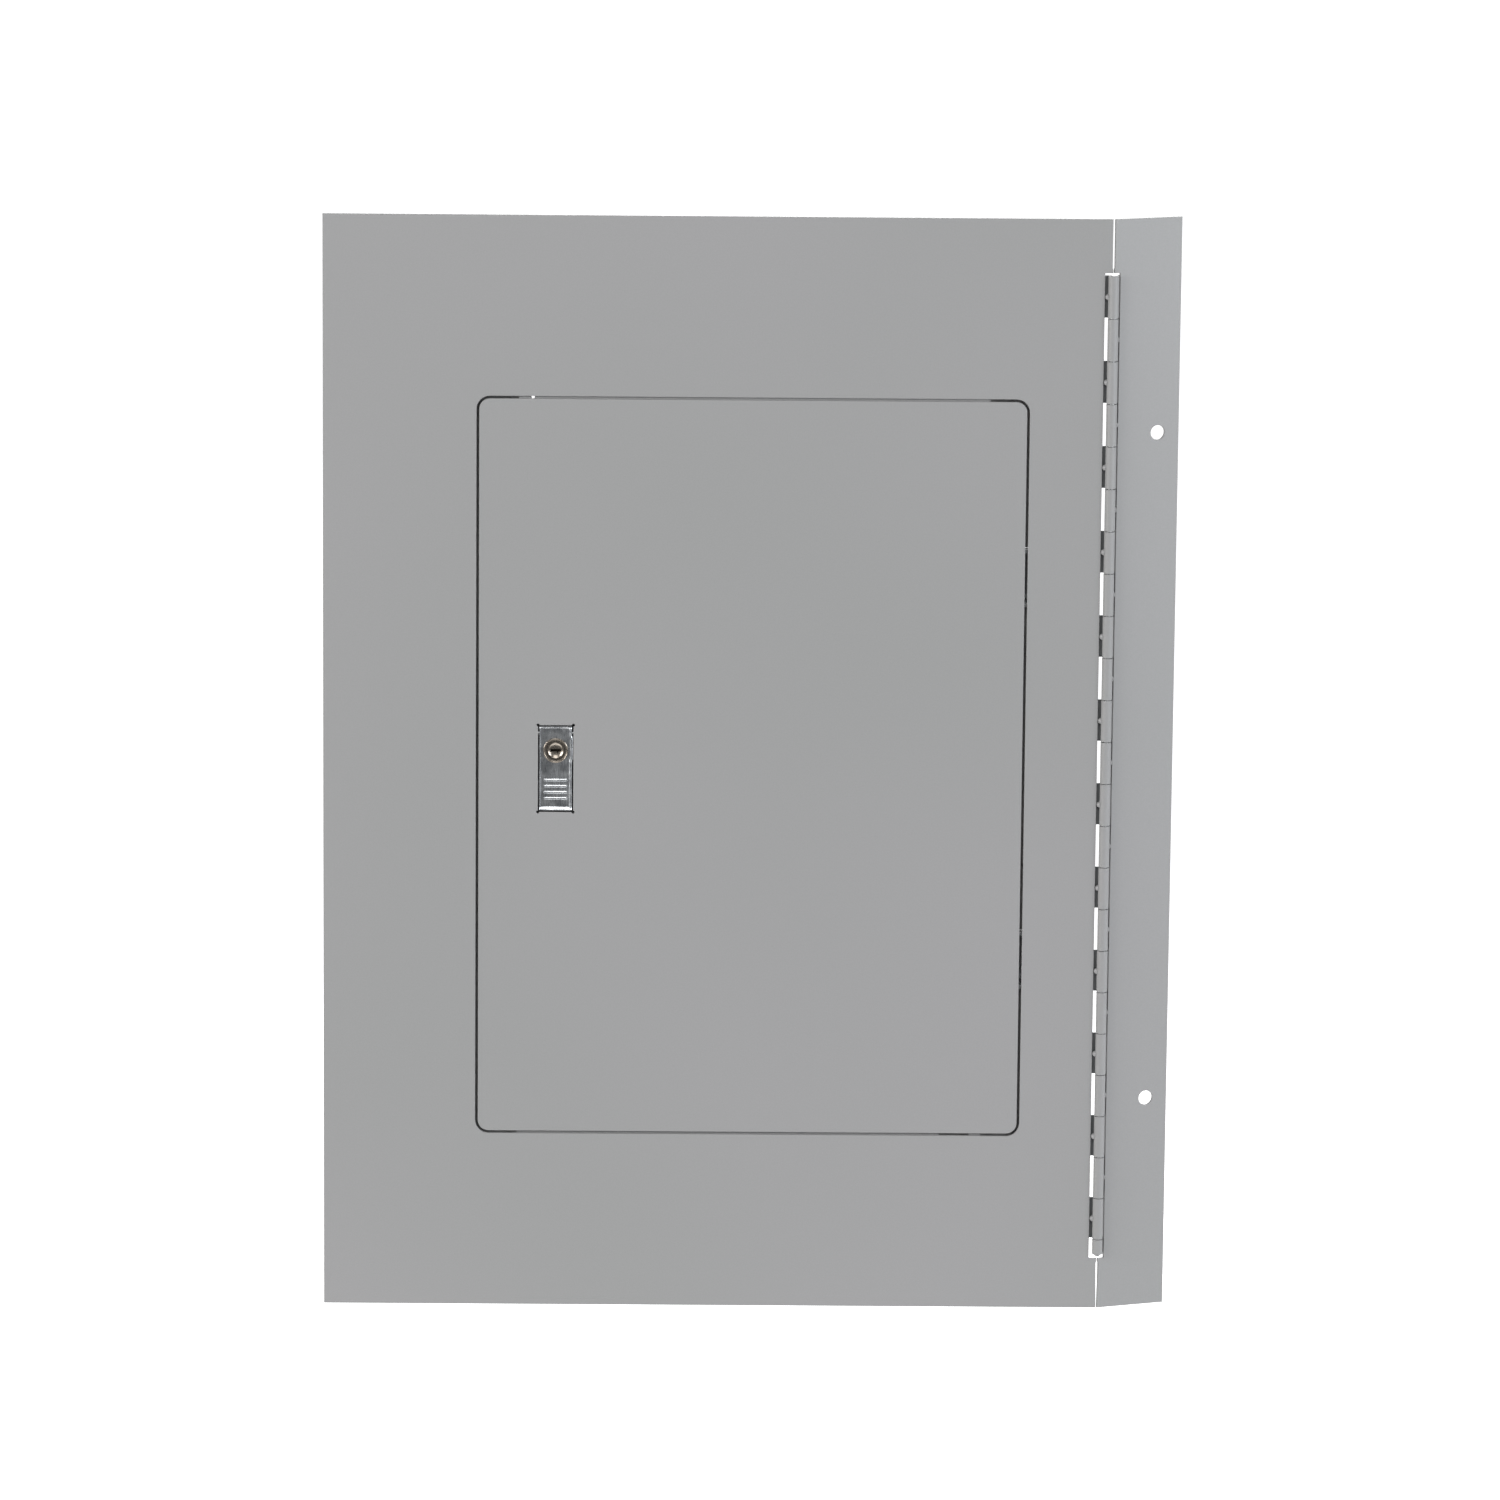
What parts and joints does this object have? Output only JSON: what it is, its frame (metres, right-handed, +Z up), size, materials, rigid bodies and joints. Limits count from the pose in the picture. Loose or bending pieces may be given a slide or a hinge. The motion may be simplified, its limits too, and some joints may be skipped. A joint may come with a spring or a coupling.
{
  "type": "fire alarm panel hinged front",
  "caption": "Flat steel flush front with a lockable hinged door, joined by a piano hinge to a narrow mounting flange.",
  "frame": {"origin": "middle of the mounting flange's back face, at mid-height", "axes": "+Z up along the piano hinge, +X to the viewer's right across the front, +Y backwards through the trim sheet, so the front faces -Y"},
  "size_m": [0.5055, 0.0343, 0.6604],
  "materials": {
    "painted_steel": "fine textured powder coat, mid grey",
    "plated_steel": "bright zinc plate",
    "spring_steel": "bright drawn wire",
    "stainless": "polished stainless",
    "nickel": "nickel plate",
    "rubber": "matt",
    "paper": "uncoated card",
    "clear_plastic": "clear sheet",
    "fibre": "vulcanised fibre"
  },
  "bodies": {
    "flange": {"mounting_flange": "painted_steel", "flange_hinge_leaf": "painted_steel", "hinge_pin": "plated_steel"},
    "trim": {"trim_sheet": "painted_steel", "trim_hinge_leaf": "painted_steel", "stop_strip_top": "painted_steel", "stop_strip_bottom": "painted_steel", "stop_strip_left": "painted_steel", "stop_strip_right": "painted_steel", "door_hinge_bracket_upper": "plated_steel", "door_hinge_bracket_lower": "plated_steel", "door_hinge_pin_upper": "plated_steel", "door_hinge_pin_lower": "plated_steel", "trim_screw_upper": "plated_steel", "trim_screw_lower": "plated_steel", "screw_retainer_upper": "fibre", "screw_retainer_lower": "fibre", "door_bumper_upper": "rubber", "door_bumper_lower": "rubber", "ground_stud": "plated_steel", "ground_nut": "plated_steel"},
    "door": {"door_sheet": "painted_steel", "door_stiffener_top": "painted_steel", "door_stiffener_bottom": "painted_steel", "door_hinge_arm_upper": "plated_steel", "door_hinge_arm_lower": "plated_steel", "card_holder_frame": "plated_steel", "directory_card": "paper", "card_window": "clear_plastic", "lock_housing": "plated_steel", "lock_nut_upper": "plated_steel", "lock_nut_lower": "plated_steel", "pull_pivot_pin": "plated_steel"},
    "pull": {"door_pull": "stainless", "pull_spring": "spring_steel", "lock_barrel": "nickel", "lock_retaining_nut": "plated_steel"},
    "plug": {"lock_plug": "nickel", "lock_cam": "plated_steel", "cam_screw": "plated_steel"},
    "catch": {"catch_bolt": "plated_steel", "catch_spring": "spring_steel"}
  },
  "joints": [
    {"name": "trim_swing", "type": "hinge", "parent": "flange", "child": "trim", "pos_m": [-0.02007, -0.00875, 0], "axis": [0, 0, 1], "range_deg": [-10, 120]},
    {"name": "door_swing", "type": "hinge", "parent": "trim", "child": "door", "pos_m": [-0.05974, -0.00295, -0.0007], "axis": [0, 0, 1], "range_deg": [0, 110]},
    {"name": "pull_tilt", "type": "hinge", "parent": "door", "child": "pull", "pos_m": [-0.34684, -0.00445, 0.0197], "axis": [-1, 0, 0], "range_deg": [0, 16], "stiffness_Nm_per_rad": 0.4, "springref_deg": -17.19},
    {"name": "catch_slide", "type": "slide", "parent": "door", "child": "catch", "axis": [1, 0, 0], "range_m": [0, 0.009], "deforming": ["catch_spring"]},
    {"name": "plug_turn", "type": "hinge", "parent": "pull", "child": "plug", "pos_m": [-0.34684, -0.00945, 0.01], "axis": [0, 1, 0], "range_deg": [0, 90]}
  ],
  "couplings": [
    {"joint": "catch_slide", "follows": "pull_tilt", "m_per_rad": 0.0322}
  ]
}
